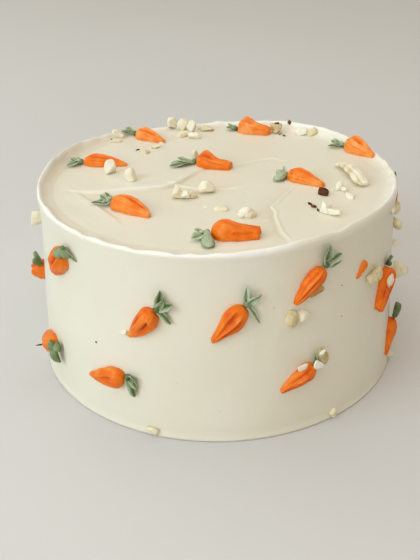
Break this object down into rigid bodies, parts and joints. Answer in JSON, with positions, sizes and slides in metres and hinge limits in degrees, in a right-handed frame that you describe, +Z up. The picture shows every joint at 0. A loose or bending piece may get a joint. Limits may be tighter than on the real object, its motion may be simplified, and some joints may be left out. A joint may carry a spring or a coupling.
{
  "type": "carrot cake",
  "caption": "Whole round carrot cake under smooth cream cheese frosting, with small carrots piped on its top and side and chopped nuts scattered between them.",
  "frame": {"origin": "centre of the flat underside, on the surface that the cake rests on", "axes": "+Z up, -Y towards the front of the cake, +X to its right as seen from the front"},
  "size_m": [0.2036, 0.2029, 0.1092],
  "materials": {
    "frosting": "satin",
    "orange_frosting": "satin",
    "green_frosting": "satin",
    "nut": "matte"
  },
  "bodies": {
    "root": {"cake": "frosting", "carrot_top_1": "orange_frosting", "leaves_top_1": "green_frosting", "carrot_top_2": "orange_frosting", "leaves_top_2": "green_frosting", "carrot_top_3": "orange_frosting", "leaves_top_3": "green_frosting", "carrot_top_4": "orange_frosting", "leaves_top_4": "green_frosting", "carrot_top_5": "orange_frosting", "leaves_top_5": "green_frosting", "carrot_top_6": "orange_frosting", "leaves_top_6": "green_frosting", "carrot_top_7": "orange_frosting", "leaves_top_7": "green_frosting", "carrot_top_8": "orange_frosting", "leaves_top_8": "green_frosting", "carrot_side_1": "orange_frosting", "leaves_side_1": "green_frosting", "carrot_side_2": "orange_frosting", "leaves_side_2": "green_frosting", "carrot_side_3": "orange_frosting", "leaves_side_3": "green_frosting", "carrot_side_4": "orange_frosting", "leaves_side_4": "green_frosting", "carrot_side_5": "orange_frosting", "leaves_side_5": "green_frosting", "carrot_side_6": "orange_frosting", "leaves_side_6": "green_frosting", "carrot_side_7": "orange_frosting", "leaves_side_7": "green_frosting", "carrot_side_8": "orange_frosting", "leaves_side_8": "green_frosting", "carrot_side_9": "orange_frosting", "leaves_side_9": "green_frosting", "carrot_side_10": "orange_frosting", "leaves_side_10": "green_frosting", "carrot_side_11": "orange_frosting", "leaves_side_11": "green_frosting", "carrot_side_12": "orange_frosting", "leaves_side_12": "green_frosting", "carrot_side_13": "orange_frosting", "leaves_side_13": "green_frosting", "carrot_side_14": "orange_frosting", "leaves_side_14": "green_frosting", "carrot_side_15": "orange_frosting", "leaves_side_15": "green_frosting", "carrot_side_16": "orange_frosting", "leaves_side_16": "green_frosting", "carrot_side_17": "orange_frosting", "leaves_side_17": "green_frosting", "carrot_side_18": "orange_frosting", "leaves_side_18": "green_frosting", "carrot_side_19": "orange_frosting", "leaves_side_19": "green_frosting", "carrot_dab": "orange_frosting", "nut_top_1": "nut", "nut_top_2": "nut", "nut_side_1": "nut", "nut_sliver": "nut"}
  },
  "joints": []
}
